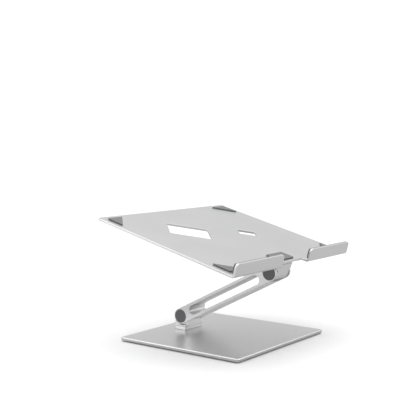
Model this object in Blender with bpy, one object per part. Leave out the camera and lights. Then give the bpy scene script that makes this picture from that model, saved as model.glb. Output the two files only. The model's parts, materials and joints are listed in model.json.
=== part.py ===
"""Folding laptop stand: a flat base, one slotted link arm, and a tilting tray with two front lips.

Metres, +Z up. +X is the user's right and -Y is the side the user sits on. The origin lies on the
surface the stand rests on, straight below the axis of the base hinge and half way across it.
Base parts are placed in world axes. Arm parts hang from an empty on the base hinge's axis, and tray
parts hang from an empty on the tray hinge's axis, so each moving part turns about its own joint.
"""

import math

import bmesh
import bpy
from mathutils import Matrix, Vector

MM = 0.001

# Clearances
REST_GAP = 0.3 * MM          # between two pieces that rest on each other
SIDE_GAP = 0.25 * MM         # beside a washer, under a head, around a cap
TURN_GAP = 0.3 * MM          # round a shaft in its bore

# Base
BASE_WIDTH = 211 * MM
BASE_DEPTH = 197 * MM
BASE_THICKNESS = 4 * MM
BASE_CORNER_RADIUS = 4 * MM
BASE_CHAMFER = 0.9 * MM
BASE_BEHIND_HINGE = 36.3 * MM   # from the hinge axis to the back edge

# Pose of the two hinges
ARM_ANGLE = math.radians(27.0)      # of the arm above the horizontal
TRAY_ANGLE = math.radians(14.6)     # of the tray above the horizontal

# Hinge block, the same at both ends of the arm
BLOCK_TOP_RADIUS = 10 * MM
BLOCK_TO_FORK = 2.5 * MM     # from the block's side to the bottom of the arm's fork
FLANGE_MARGIN = 0.5 * MM     # how far the flange stands out past the arm and past the block
FLANGE_THICKNESS = 2 * MM
FLANGE_CORNER_RADIUS = 2 * MM
ARM_ABOVE_FLANGE = 1.1 * MM
SHOULDER_GAP = 0.5 * MM      # between the arm's round end and the hollow shoulder beside the block
SHOULDER_INSET = 0.5 * MM    # from the arm's side to the shoulder's
SHOULDER_LAND = 0.8 * MM     # the flat along the top of the shoulder's outer wall
BASE_FOOT_HEIGHT = 4.7 * MM
TRAY_FOOT_HEIGHT = 2.9 * MM

# Arm
ARM_LENGTH = 167 * MM        # from hinge axis to hinge axis
ARM_WIDTH = 37 * MM
ARM_RADIUS = 11 * MM         # round ends, so the arm is twice this high
ARM_EDGE = 0.7 * MM
RAIL_HEIGHT = 4.5 * MM       # above and below the window
FORK_TO_WINDOW = 5.8 * MM    # the web between them
EAR_THICKNESS = 3.2 * MM

# Pivot: a sleeve with a head, a screw into it, a washer beside each ear, and a cap over each head
SLEEVE_RADIUS = 4 * MM
PIVOT_HEAD_RADIUS = 6 * MM
PIVOT_HEAD_THICKNESS = 0.8 * MM
PIVOT_SCREW_RADIUS = 2.5 * MM
PIVOT_SCREW_LENGTH = 13 * MM
PIVOT_SCREW_ROOM = 1 * MM    # past the screw's end, inside the sleeve
WASHER_TO_BLOCK_EDGE = 1 * MM
WASHER_THICKNESS = 0.5 * MM
CAP_TO_ARM_EDGE = 1.5 * MM   # the bright rim that shows round each cap
CAP_SEAT_DEPTH = 0.9 * MM
CAP_PROUD = 0.5 * MM
CAP_EDGE = 0.4 * MM

# Countersunk screws that hold the hinge blocks
SCREW_RADIUS = 2 * MM
SCREW_HEAD_RADIUS = 3.8 * MM
SCREW_HEAD_HEIGHT = 1.9 * MM
SCREW_BITE = 7 * MM          # how far it goes into the hinge block
SCREW_FROM_BLOCK_SIDE = 5 * MM
SOCKET_ACROSS = 2.5 * MM
SOCKET_DEPTH = 1.2 * MM
PIVOT_SOCKET_ACROSS = 3 * MM
PIVOT_SOCKET_DEPTH = 0.5 * MM

# Tray: a sheet with its front edge bent up into two lips
TRAY_WIDTH = 280 * MM
TRAY_DEPTH = 230 * MM
TRAY_THICKNESS = 3 * MM
TRAY_CORNER_RADIUS = 4 * MM
TRAY_BEND_RADIUS = 1.2 * MM  # inside the bend
NOTCH_TO_HINGE_FOOT = 4.4 * MM
LIP_HEIGHT = 19.1 * MM
LIP_CORNER_RADIUS = 5 * MM
NOTCH_WIDTH = 67 * MM
NOTCH_DEPTH = 11 * MM
NOTCH_CORNER_RADIUS = 4 * MM
VENT_TURN = math.radians(-43)
VENT_CORNER_RADIUS = 1.2 * MM
LARGE_VENT = {"across": -44.6 * MM, "back": 147 * MM, "length": 58 * MM, "height": 46 * MM}
SMALL_VENT = {"across": 49 * MM, "back": 114 * MM, "length": 26 * MM, "height": 19.5 * MM}

# Rubber
PAD_THICKNESS = 1.5 * MM
PAD_CORNER_RADIUS = 1.5 * MM
PAD_LEG = 28 * MM
PAD_INSET = 9.5 * MM
FRONT_PAD_FROM_FRONT = 13 * MM
CENTRE_PAD_LENGTH = 37 * MM
CENTRE_PAD_DEPTH = 21 * MM
FOOT_INSET = 8 * MM
LINER_THICKNESS = 1.5 * MM
LINER_BELOW_LIP_TOP = 0.5 * MM
LINER_CORNER_RADIUS = 3.2 * MM

ARC_STEPS = 6                # segments in a small fillet
END_STEPS = 28               # segments in a half circle of the arm
ROUND_STEPS = 40             # segments round a turned piece
SMALL_ROUND_STEPS = 24       # segments round a screw
CUT_PAST = 5 * MM            # how far a cutter runs past what it cuts

# Worked out from the sizes above
BASE_BOTTOM = PAD_THICKNESS + REST_GAP
BASE_TOP = BASE_BOTTOM + BASE_THICKNESS
AXIS_ABOVE_FLANGE = ARM_RADIUS + ARM_ABOVE_FLANGE
AXIS_TO_SEAT = AXIS_ABOVE_FLANGE + FLANGE_THICKNESS
BASE_SEAT = BASE_TOP + BASE_FOOT_HEIGHT + 2 * REST_GAP
BASE_AXIS_HEIGHT = BASE_SEAT + AXIS_TO_SEAT
TRAY_ABOVE_AXIS = AXIS_TO_SEAT + TRAY_FOOT_HEIGHT + 2 * REST_GAP
BLOCK_DEPTH = 2 * BLOCK_TOP_RADIUS
FLANGE_WIDTH = ARM_WIDTH + 2 * FLANGE_MARGIN
SHOULDER_RADIUS = ARM_RADIUS + SHOULDER_GAP
SHOULDER_WIDTH = ARM_WIDTH - 2 * SHOULDER_INSET
FLANGE_DEPTH = BLOCK_DEPTH + 2 * FLANGE_MARGIN
FORK_FROM_AXIS = BLOCK_TOP_RADIUS + BLOCK_TO_FORK
WINDOW_FROM_AXIS = FORK_FROM_AXIS + FORK_TO_WINDOW
WINDOW_RADIUS = ARM_RADIUS - RAIL_HEIGHT
FORK_WIDTH = ARM_WIDTH - 2 * EAR_THICKNESS
BLOCK_WIDTH = FORK_WIDTH - 2 * (WASHER_THICKNESS + 2 * SIDE_GAP)
SCREW_OFFSET = BLOCK_WIDTH / 2 - SCREW_FROM_BLOCK_SIDE
CAP_RADIUS = ARM_RADIUS - CAP_TO_ARM_EDGE
WASHER_RADIUS = BLOCK_TOP_RADIUS - WASHER_TO_BLOCK_EDGE
PIVOT_HEAD_SEAT = PIVOT_HEAD_THICKNESS + 2 * SIDE_GAP
BORE_RADIUS = SLEEVE_RADIUS + TURN_GAP
SCREW_HOLE_RADIUS = SCREW_RADIUS + SIDE_GAP
TRAY_AXIS_FROM_FRONT = NOTCH_DEPTH + NOTCH_TO_HINGE_FOOT + FLANGE_DEPTH / 2
TRAY_FRONT = -TRAY_AXIS_FROM_FRONT
TRAY_BACK = TRAY_FRONT + TRAY_DEPTH
TRAY_BOTTOM = TRAY_ABOVE_AXIS
TRAY_TOP = TRAY_BOTTOM + TRAY_THICKNESS
LIP_TOP = TRAY_BOTTOM + LIP_HEIGHT
SIDES = (("left", -1), ("right", 1))


# ---------------------------------------------------------------- outlines

def arc(centre, radius, start, end, steps):
    """Points of an arc from angle start to angle end, both included."""
    return [
        (centre[0] + radius * math.cos(start + (end - start) * i / steps),
         centre[1] + radius * math.sin(start + (end - start) * i / steps))
        for i in range(steps + 1)
    ]


def rounded(corners, radius, steps=ARC_STEPS):
    """An anticlockwise convex outline with each corner rounded to the radius."""
    outline = []
    for i, corner in enumerate(corners):
        here = Vector(corner)
        before = (Vector(corners[i - 1]) - here).normalized()
        after = (Vector(corners[(i + 1) % len(corners)]) - here).normalized()
        half = before.angle(after) / 2
        middle = here + (before + after).normalized() * radius / math.sin(half)
        first = here + before * radius / math.tan(half) - middle
        start = math.atan2(first.y, first.x)
        outline += arc(middle, radius, start, start + math.pi - 2 * half, steps)
    return outline


def rectangle(width, depth, centre=(0, 0)):
    """The corners of a rectangle, anticlockwise."""
    x, y = width / 2, depth / 2
    return [(centre[0] + a, centre[1] + b) for a, b in ((-x, -y), (x, -y), (x, y), (-x, y))]


def turned_rectangle(width, depth, centre, angle):
    """The corners of a rectangle turned about its centre, anticlockwise."""
    c, s = math.cos(angle), math.sin(angle)
    return [(centre[0] + x * c - y * s, centre[1] + x * s + y * c) for x, y in rectangle(width, depth)]


def stadium(start, end, radius, steps=END_STEPS):
    """A slot outline between two points (y, z) that have the same z, start having the larger y."""
    right = arc(start, radius, -math.pi / 2, math.pi / 2, steps)
    left = arc(end, radius, math.pi / 2, 3 * math.pi / 2, steps)
    return right + left


# ---------------------------------------------------------------- solids

def prism_along_z(outline, low, high):
    """A bmesh of an XY outline raised from low to high."""
    bm = bmesh.new()
    base = bm.faces.new([bm.verts.new((x, y, low)) for x, y in outline])
    raised = bmesh.ops.extrude_face_region(bm, geom=[base])
    top = [v for v in raised["geom"] if isinstance(v, bmesh.types.BMVert)]
    bmesh.ops.translate(bm, vec=(0, 0, high - low), verts=top)
    bmesh.ops.recalc_face_normals(bm, faces=bm.faces)
    return bm


def prism_along_x(outline, low, high):
    """A bmesh of a YZ outline run from x = low to x = high."""
    bm = prism_along_z(outline, low, high)
    turn = Matrix(((0, 0, 1), (1, 0, 0), (0, 1, 0)))
    bmesh.ops.transform(bm, matrix=turn.to_4x4(), verts=bm.verts)
    return bm


def prism_along_y(outline, low, high):
    """A bmesh of an XZ outline run from y = low to y = high."""
    bm = prism_along_z(outline, low, high)
    turn = Matrix(((1, 0, 0), (0, 0, 1), (0, 1, 0)))
    bmesh.ops.transform(bm, matrix=turn.to_4x4(), verts=bm.verts)
    bmesh.ops.recalc_face_normals(bm, faces=bm.faces)
    return bm


def chamfer(bm, width, chosen, segments=1):
    """Bevels the edges that the test picks."""
    edges = [e for e in bm.edges if chosen(e)]
    bmesh.ops.bevel(bm, geom=edges, offset=width, segments=segments, profile=0.5,
                    affect="EDGES", clamp_overlap=True, material=-1)
    return bm


def rim_at(axis, *levels):
    """A test for the edges that lie flat at one of the levels along an axis (0, 1 or 2)."""
    def test(edge):
        a, b = (v.co[axis] for v in edge.verts)
        return any(abs(a - level) < 1e-6 and abs(b - level) < 1e-6 for level in levels)
    return test


def turned(profile, steps=ROUND_STEPS):
    """A bmesh spun about the X axis from (x, radius) points that start and end on the axis."""
    bm = bmesh.new()
    verts = [bm.verts.new((x, 0, r)) for x, r in profile]
    edges = [bm.edges.new(pair) for pair in zip(verts, verts[1:])]
    bmesh.ops.spin(bm, geom=verts + edges, cent=(0, 0, 0), axis=(1, 0, 0),
                   angle=2 * math.pi, steps=steps, use_merge=True, use_duplicate=False)
    bmesh.ops.remove_doubles(bm, verts=bm.verts, dist=1e-7)
    bmesh.ops.recalc_face_normals(bm, faces=bm.faces)
    return bm


def ring(inner, outer, low, high, steps=ROUND_STEPS):
    """A flat ring about the X axis between x = low and x = high."""
    bm = bmesh.new()
    corners = [(low, inner), (high, inner), (high, outer), (low, outer)]
    verts = [bm.verts.new((x, 0, r)) for x, r in corners]
    edges = [bm.edges.new((verts[i], verts[(i + 1) % 4])) for i in range(4)]
    bmesh.ops.spin(bm, geom=verts + edges, cent=(0, 0, 0), axis=(1, 0, 0),
                   angle=2 * math.pi, steps=steps, use_merge=True, use_duplicate=False)
    bmesh.ops.remove_doubles(bm, verts=bm.verts, dist=1e-7)
    bmesh.ops.recalc_face_normals(bm, faces=bm.faces)
    return bm


def disc(radius, low, high, edge):
    """A disc about the X axis, with its rim at the high end eased by a small chamfer."""
    return turned([(low, 0), (low, radius), (high - edge, radius), (high, radius - edge), (high, 0)])


def placed(bm, move=(0, 0, 0), turn=None, mirror_x=False):
    """Turns, mirrors and moves a bmesh."""
    if turn is not None:
        bmesh.ops.transform(bm, matrix=turn.to_4x4(), verts=bm.verts)
    if mirror_x:
        bmesh.ops.scale(bm, vec=(-1, 1, 1), verts=bm.verts)
        bmesh.ops.reverse_faces(bm, faces=bm.faces)
    bmesh.ops.translate(bm, vec=move, verts=bm.verts)
    return bm


# ---------------------------------------------------------------- objects and materials

def make_material(name, colour, roughness, metallic):
    """A Principled material with one plain colour."""
    material = bpy.data.materials.new(name)
    material.use_nodes = True
    shader = material.node_tree.nodes["Principled BSDF"]
    shader.inputs["Base Color"].default_value = (*colour, 1)
    shader.inputs["Roughness"].default_value = roughness
    shader.inputs["Metallic"].default_value = metallic
    return material


def add(name, bm, material, parent=None):
    """One named object from a bmesh, smooth where it is round."""
    mesh = bpy.data.meshes.new(name)
    bm.to_mesh(mesh)
    bm.free()
    mesh.materials.append(material)
    mesh.shade_smooth()
    mesh.set_sharp_from_angle(angle=math.radians(30))
    obj = bpy.data.objects.new(name, mesh)
    bpy.context.scene.collection.objects.link(obj)
    obj.parent = parent
    return obj


def combine(obj, name, bm, operation):
    """An exact Boolean on obj with a guide that shares its parent and isn't part of the model."""
    mesh = bpy.data.meshes.new(name)
    bm.to_mesh(mesh)
    bm.free()
    guide = bpy.data.objects.new(name, mesh)
    bpy.context.scene.collection.objects.link(guide)
    guide.parent = obj.parent
    guide.hide_render = True
    guide.display_type = "WIRE"
    boolean = obj.modifiers.new(name, "BOOLEAN")
    boolean.operation = operation
    boolean.object = guide
    boolean.solver = "EXACT"


def cut(obj, name, bm):
    """Takes a shape out of obj."""
    combine(obj, name, bm, "DIFFERENCE")


def axis_empty(name, location, turn_about_x=0, parent=None):
    """An empty on a hinge axis, which the pieces that turn about it hang from."""
    empty = bpy.data.objects.new(name, None)
    bpy.context.scene.collection.objects.link(empty)
    empty.parent = parent
    empty.location = location
    empty.rotation_euler = (turn_about_x, 0, 0)
    return empty


# ---------------------------------------------------------------- shared pieces

def screw_profile(radius, head_radius, head_height, length):
    """Half a countersunk screw or its hole, from the middle of its head to the middle of its end."""
    return [(0, 0), (0, head_radius), (head_height, radius), (length, radius), (length, 0)]


def along_z(bm, up, across, start):
    """Stands a piece turned about X on end, so that it runs up (1) or down (-1) from height start."""
    return placed(bm, turn=Matrix.Rotation(-up * math.pi / 2, 3, "Y"), move=(across, 0, start))


def hexagon(across_flats, centre=(0, 0)):
    """The corners of a hexagonal key socket."""
    radius = across_flats / math.sqrt(3)
    turns = [math.radians(60 * i) for i in range(6)]
    return [(centre[0] + radius * math.cos(a), centre[1] + radius * math.sin(a)) for a in turns]


def countersunk_screw(name, steel, parent, up, across, head_face, grip):
    """A screw whose head lies at height head_face. It passes through grip and bites into a block."""
    profile = screw_profile(SCREW_RADIUS, SCREW_HEAD_RADIUS, SCREW_HEAD_HEIGHT, grip + SCREW_BITE)
    screw = add(name, along_z(turned(profile, SMALL_ROUND_STEPS), up, across, head_face), steel, parent)
    key = hexagon(SOCKET_ACROSS, (across, 0))
    cut(screw, f"{name}.socket", prism_along_z(key, head_face - SOCKET_DEPTH, head_face + SOCKET_DEPTH))


def cut_screw_hole(obj, name, up, across, start, length):
    """A plain clearance hole for a countersunk screw."""
    profile = [(0, 0), (0, SCREW_HOLE_RADIUS), (length, SCREW_HOLE_RADIUS), (length, 0)]
    cut(obj, name, along_z(turned(profile, SMALL_ROUND_STEPS), up, across, start))


def cut_countersink(obj, name, up, across, head_face):
    """A countersunk clearance hole, right through a plate whose outer face is head_face."""
    profile = screw_profile(SCREW_HOLE_RADIUS, SCREW_HEAD_RADIUS + SIDE_GAP, SCREW_HEAD_HEIGHT, 2 * CUT_PAST)
    wide = SCREW_HEAD_RADIUS + SIDE_GAP
    profile = [(-CUT_PAST, 0), (-CUT_PAST, wide)] + profile[1:]
    cut(obj, name, along_z(turned(profile, SMALL_ROUND_STEPS), up, across, head_face))


def hinge_block(name, aluminium, parent, up):
    """A round-topped block on a flange, with a hollow shoulder under the arm's round end.

    Its parent is the hinge axis, and up is -1 if it hangs from the tray.
    """
    outline = arc((0, 0), BLOCK_TOP_RADIUS, 0, math.pi, END_STEPS)
    foot = -(AXIS_ABOVE_FLANGE + FLANGE_THICKNESS / 2)
    outline += [(-BLOCK_DEPTH / 2, foot), (BLOCK_DEPTH / 2, foot)]
    block = prism_along_x([(up * y, up * z) for y, z in outline], -BLOCK_WIDTH / 2, BLOCK_WIDTH / 2)
    block = add(name, block, aluminium, parent)
    low, high = sorted((-up * AXIS_ABOVE_FLANGE, -up * AXIS_TO_SEAT))
    flange = prism_along_z(rounded(rectangle(FLANGE_WIDTH, FLANGE_DEPTH), FLANGE_CORNER_RADIUS), low, high)
    combine(block, f"{name}.flange", flange, "UNION")
    land_start = -math.acos((BLOCK_TOP_RADIUS - SHOULDER_LAND) / SHOULDER_RADIUS)
    outline = arc((0, 0), SHOULDER_RADIUS, -math.pi / 2, land_start, ARC_STEPS)
    outline += [(BLOCK_TOP_RADIUS, outline[-1][1]), (BLOCK_TOP_RADIUS, foot), (0, foot)]
    half = SHOULDER_WIDTH / 2
    shoulder = prism_along_x([(up * y, up * z) for y, z in outline], -half, half)
    combine(block, f"{name}.shoulder", shoulder, "UNION")
    bore = [(-BLOCK_WIDTH, 0), (-BLOCK_WIDTH, BORE_RADIUS), (BLOCK_WIDTH, BORE_RADIUS), (BLOCK_WIDTH, 0)]
    cut(block, f"{name}.bore", turned(bore))
    for side, sign in SIDES:
        cut_screw_hole(block, f"{name}.screw_hole_{side}", up, sign * SCREW_OFFSET,
                       -up * (AXIS_TO_SEAT + SIDE_GAP), SCREW_BITE + 2 * SIDE_GAP)


def hinge_foot(name, aluminium, parent, low, high):
    """The flat spacer between a hinge block and the plate that it is screwed to."""
    outline = rounded(rectangle(FLANGE_WIDTH, FLANGE_DEPTH), FLANGE_CORNER_RADIUS)
    foot = add(name, prism_along_z(outline, low, high), aluminium, parent)
    for side, sign in SIDES:
        start, length = low - CUT_PAST, high - low + 2 * CUT_PAST
        cut_screw_hole(foot, f"{name}.screw_hole_{side}", 1, sign * SCREW_OFFSET, start, length)


def pivot(prefix, steel, plastic, polymer, parent):
    """Sleeve, screw, two washers and two caps of one hinge. Their parent lies on its axis."""
    ear_outside = ARM_WIDTH / 2
    head_inside = ear_outside - CAP_SEAT_DEPTH - PIVOT_HEAD_SEAT + SIDE_GAP
    head_outside = head_inside + PIVOT_HEAD_THICKNESS
    sleeve_end = head_inside - 2 * SIDE_GAP
    screw_end = head_inside - PIVOT_SCREW_LENGTH
    bore_end = screw_end - PIVOT_SCREW_ROOM
    bore = PIVOT_SCREW_RADIUS + SIDE_GAP
    sleeve = add(f"{prefix}_pivot_sleeve", turned([
        (-head_outside, 0), (-head_outside, PIVOT_HEAD_RADIUS), (-head_inside, PIVOT_HEAD_RADIUS),
        (-head_inside, SLEEVE_RADIUS), (sleeve_end, SLEEVE_RADIUS), (sleeve_end, bore),
        (bore_end, bore), (bore_end, 0)]), steel, parent)
    screw = add(f"{prefix}_pivot_screw", turned([
        (head_outside, 0), (head_outside, PIVOT_HEAD_RADIUS), (head_inside, PIVOT_HEAD_RADIUS),
        (head_inside, PIVOT_SCREW_RADIUS), (screw_end, PIVOT_SCREW_RADIUS), (screw_end, 0)]), steel, parent)
    for piece, sign in ((sleeve, -1), (screw, 1)):
        low, high = sorted((sign * (head_outside - PIVOT_SOCKET_DEPTH), sign * (head_outside + CUT_PAST)))
        cut(piece, f"{piece.name}.socket", prism_along_x(hexagon(PIVOT_SOCKET_ACROSS), low, high))
    washer_inside = BLOCK_WIDTH / 2 + SIDE_GAP
    cap_inside = ear_outside - CAP_SEAT_DEPTH + SIDE_GAP
    for side, sign in SIDES:
        washer = ring(BORE_RADIUS, WASHER_RADIUS, washer_inside, washer_inside + WASHER_THICKNESS)
        add(f"{prefix}_washer_{side}", placed(washer, mirror_x=sign < 0), polymer, parent)
        cap = disc(CAP_RADIUS, cap_inside, ear_outside + CAP_PROUD, CAP_EDGE)
        add(f"{prefix}_cap_{side}", placed(cap, mirror_x=sign < 0), plastic, parent)


def pad(name, corners, low, rubber, parent):
    """A flat rubber pad with eased corners."""
    outline = rounded(corners, PAD_CORNER_RADIUS)
    return add(name, prism_along_z(outline, low, low + PAD_THICKNESS), rubber, parent)


def triangle(corner, towards_x, towards_y):
    """A right triangle with its right angle at the corner, anticlockwise."""
    along_x = (corner[0] + towards_x * PAD_LEG, corner[1])
    along_y = (corner[0], corner[1] + towards_y * PAD_LEG)
    points = [corner, along_x, along_y]
    return points if towards_x * towards_y > 0 else points[::-1]


# ---------------------------------------------------------------- sub-assemblies

def build_base(aluminium, steel, rubber, axis):
    """The plate, its rubber feet, and the lower hinge block on its foot."""
    centre_y = BASE_BEHIND_HINGE - BASE_DEPTH / 2
    outline = rounded(rectangle(BASE_WIDTH, BASE_DEPTH, (0, centre_y)), BASE_CORNER_RADIUS)
    plate = chamfer(prism_along_z(outline, BASE_BOTTOM, BASE_TOP), BASE_CHAMFER, rim_at(2, BASE_TOP))
    plate = add("base_plate", plate, aluminium)
    foot_low = BASE_TOP + REST_GAP
    hinge_foot("base_hinge_foot", aluminium, None, foot_low, foot_low + BASE_FOOT_HEIGHT)
    hinge_block("base_hinge_block", aluminium, axis, 1)
    for side, sign in SIDES:
        across = sign * SCREW_OFFSET
        cut_countersink(plate, f"plate_screw_hole_{side}", 1, across, BASE_BOTTOM)
        countersunk_screw(f"base_screw_{side}", steel, None, 1, across, BASE_BOTTOM, BASE_SEAT - BASE_BOTTOM)
        x = sign * (BASE_WIDTH / 2 - FOOT_INSET)
        for end, way in (("front", -1), ("back", 1)):
            corner = (x, centre_y + way * (BASE_DEPTH / 2 - FOOT_INSET))
            pad(f"base_pad_{end}_{side}", triangle(corner, -sign, -way), 0, rubber, None)
    pad("base_pad_hinge", rectangle(CENTRE_PAD_LENGTH, CENTRE_PAD_DEPTH), 0, rubber, None)


def cut_pivot_bore(arm, name, axis_y):
    """The bore through both ears, with a seat for a pivot head and a wider one for a cap."""
    outside = ARM_WIDTH / 2 + CUT_PAST
    cap_floor = ARM_WIDTH / 2 - CAP_SEAT_DEPTH
    head_floor = cap_floor - PIVOT_HEAD_SEAT
    steps = [(-outside, 0), (-outside, CAP_RADIUS + SIDE_GAP), (-cap_floor, CAP_RADIUS + SIDE_GAP),
             (-cap_floor, PIVOT_HEAD_RADIUS + SIDE_GAP), (-head_floor, PIVOT_HEAD_RADIUS + SIDE_GAP),
             (-head_floor, BORE_RADIUS)]
    profile = steps + [(-x, r) for x, r in reversed(steps)]
    cut(arm, name, placed(turned(profile), move=(0, axis_y, 0)))


def build_arm(aluminium, axis):
    """The slotted link, forked at both ends."""
    arm = prism_along_x(stadium((0, 0), (-ARM_LENGTH, 0), ARM_RADIUS), -ARM_WIDTH / 2, ARM_WIDTH / 2)
    chamfer(arm, ARM_EDGE, rim_at(0, -ARM_WIDTH / 2, ARM_WIDTH / 2), segments=2)
    arm = add("link_arm", arm, aluminium, axis)
    to_centre = WINDOW_FROM_AXIS + WINDOW_RADIUS
    window = stadium((-to_centre, 0), (to_centre - ARM_LENGTH, 0), WINDOW_RADIUS)
    cut(arm, "arm_window", prism_along_x(window, -ARM_WIDTH, ARM_WIDTH))
    for name, axis_y, inwards in (("base", 0, -1), ("tray", -ARM_LENGTH, 1)):
        reach = ARM_RADIUS + CUT_PAST
        middle = axis_y + inwards * (FORK_FROM_AXIS - reach) / 2
        fork = rectangle(FORK_FROM_AXIS + reach, 2 * reach, (middle, 0))
        cut(arm, f"arm_fork_{name}", prism_along_x(fork, -FORK_WIDTH / 2, FORK_WIDTH / 2))
        cut_pivot_bore(arm, f"arm_bore_{name}", axis_y)


def tray_section():
    """The tray seen from the side (y, z): the sheet and the lip that is bent up from its front."""
    outer = TRAY_BEND_RADIUS + TRAY_THICKNESS
    bend = (TRAY_FRONT + outer, TRAY_BOTTOM + outer)
    section = arc(bend, outer, math.pi, 3 * math.pi / 2, ARC_STEPS)
    section += [(TRAY_BACK, TRAY_BOTTOM), (TRAY_BACK, TRAY_TOP)]
    section += arc(bend, TRAY_BEND_RADIUS, 3 * math.pi / 2, math.pi, ARC_STEPS)
    return section + [(TRAY_FRONT + TRAY_THICKNESS, LIP_TOP), (TRAY_FRONT, LIP_TOP)]


def outside_corner(corner, inwards, radius):
    """The sliver outside a rounded corner. inwards holds the signs that point into the piece."""
    centre = (corner[0] + inwards[0] * radius, corner[1] + inwards[1] * radius)
    beyond = (corner[0] - inwards[0] * radius, corner[1] - inwards[1] * radius)
    start = 0 if inwards[0] < 0 else math.pi
    quarter = math.pi / 2 * inwards[0] * inwards[1]
    outline = arc(centre, radius, start, start + quarter, ARC_STEPS)
    return outline + [(centre[0], beyond[1]), beyond, (beyond[0], centre[1])]


def build_tray(aluminium, axis):
    """The sheet with its lips, the notch between them, two vents and two countersunk holes."""
    half = TRAY_WIDTH / 2
    tray = add("tray", prism_along_x(tray_section(), -half, half), aluminium, axis)
    through = (TRAY_BOTTOM - CUT_PAST, LIP_TOP + CUT_PAST)
    notch = rounded(rectangle(NOTCH_WIDTH, 2 * NOTCH_DEPTH, (0, TRAY_FRONT)), NOTCH_CORNER_RADIUS)
    cut(tray, "tray_notch", prism_along_z(notch, *through))
    for name, vent in (("large", LARGE_VENT), ("small", SMALL_VENT)):
        centre = (vent["across"], TRAY_FRONT + vent["back"])
        corners = turned_rectangle(vent["length"], vent["height"], centre, VENT_TURN)
        cut(tray, f"tray_vent_{name}", prism_along_z(rounded(corners, VENT_CORNER_RADIUS), *through))
    for side, sign in SIDES:
        corner = outside_corner((sign * half, TRAY_BACK), (-sign, -1), TRAY_CORNER_RADIUS)
        cut(tray, f"tray_back_corner_{side}", prism_along_z(corner, *through))
        for end, x, inwards in (("outer", half, -sign), ("inner", NOTCH_WIDTH / 2, sign)):
            corner = outside_corner((sign * x, LIP_TOP), (inwards, -1), LIP_CORNER_RADIUS)
            cutter = prism_along_y(corner, TRAY_FRONT - CUT_PAST, TRAY_FRONT + TRAY_THICKNESS + CUT_PAST)
            cut(tray, f"tray_lip_corner_{side}_{end}", cutter)
        cut_countersink(tray, f"tray_screw_hole_{side}", -1, sign * SCREW_OFFSET, TRAY_TOP)


def build_tray_hinge(aluminium, steel, axis):
    """The upper hinge block, its foot, and the screws that come down through the tray."""
    foot_top = TRAY_BOTTOM - REST_GAP
    hinge_foot("tray_hinge_foot", aluminium, axis, foot_top - TRAY_FOOT_HEIGHT, foot_top)
    hinge_block("tray_hinge_block", aluminium, axis, -1)
    for side, sign in SIDES:
        across = sign * SCREW_OFFSET
        countersunk_screw(f"tray_screw_{side}", steel, axis, -1, across, TRAY_TOP, TRAY_TOP - AXIS_TO_SEAT)


def build_tray_rubber(rubber, axis):
    """The pads on the tray and the liners inside its lips."""
    half = TRAY_WIDTH / 2
    low = TRAY_TOP + REST_GAP
    pad("tray_pad_centre", rectangle(CENTRE_PAD_LENGTH, CENTRE_PAD_DEPTH), low, rubber, axis)
    for side, sign in SIDES:
        x = sign * (half - PAD_INSET)
        pad(f"tray_pad_back_{side}", triangle((x, TRAY_BACK - PAD_INSET), -sign, -1), low, rubber, axis)
        front_pad = triangle((x, TRAY_FRONT + FRONT_PAD_FROM_FRONT), -sign, 1)
        pad(f"tray_pad_front_{side}", front_pad, low, rubber, axis)
        liner_low = TRAY_TOP + TRAY_BEND_RADIUS + REST_GAP
        liner_high = LIP_TOP - LINER_BELOW_LIP_TOP
        centre = (sign * (half + NOTCH_WIDTH / 2) / 2, (liner_high + liner_low) / 2)
        outline = rectangle(half - NOTCH_WIDTH / 2, liner_high - liner_low, centre)
        front = TRAY_FRONT + TRAY_THICKNESS + REST_GAP
        liner = prism_along_y(rounded(outline, LINER_CORNER_RADIUS), front, front + LINER_THICKNESS)
        add(f"lip_liner_{side}", liner, rubber, axis)


def main():
    """Clears the scene and builds the stand."""
    for obj in list(bpy.data.objects):
        bpy.data.objects.remove(obj)
    aluminium = make_material("satin_aluminium", (0.72, 0.72, 0.73), 0.38, 0.9)
    steel = make_material("zinc_steel", (0.5, 0.5, 0.5), 0.35, 1.0)
    plastic = make_material("grey_plastic", (0.11, 0.11, 0.115), 0.55, 0.0)
    polymer = make_material("white_polymer", (0.8, 0.8, 0.78), 0.5, 0.0)
    rubber = make_material("grey_rubber", (0.16, 0.16, 0.165), 0.8, 0.0)

    block_axis = axis_empty("base_block_axis", (0, 0, BASE_AXIS_HEIGHT))
    base_axis = axis_empty("base_hinge_axis", (0, 0, BASE_AXIS_HEIGHT), -ARM_ANGLE)
    arm_end = axis_empty("arm_end", (0, -ARM_LENGTH, 0), 0, base_axis)
    tray_axis = axis_empty("tray_hinge_axis", (0, -ARM_LENGTH, 0), ARM_ANGLE + TRAY_ANGLE, base_axis)

    build_base(aluminium, steel, rubber, block_axis)
    build_arm(aluminium, base_axis)
    pivot("base", steel, plastic, polymer, base_axis)
    pivot("tray", steel, plastic, polymer, arm_end)
    build_tray(aluminium, tray_axis)
    build_tray_hinge(aluminium, steel, tray_axis)
    build_tray_rubber(rubber, tray_axis)


main()
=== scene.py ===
"""Folding laptop stand in satin aluminium: its visible pieces, their finishes, the studio and the camera.

Metres, +Z up. +X is the user's right and -Y is the user's side, as in the frame. Each sub-assembly builds
its pieces in the axes of its own hinge and then sets them where the frame's joints say.
"""

import json
import logging
import math
from dataclasses import dataclass, field
from enum import Enum
from typing import Iterable, Sequence

import bmesh
import bpy
from bmesh.types import BMEdge, BMesh, BMFace, BMVert
from bpy.types import ID, Material, Node, NodeOutputs, NodeSocket, Object, ShaderNodeTree
from mathutils import Matrix, Vector


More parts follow.
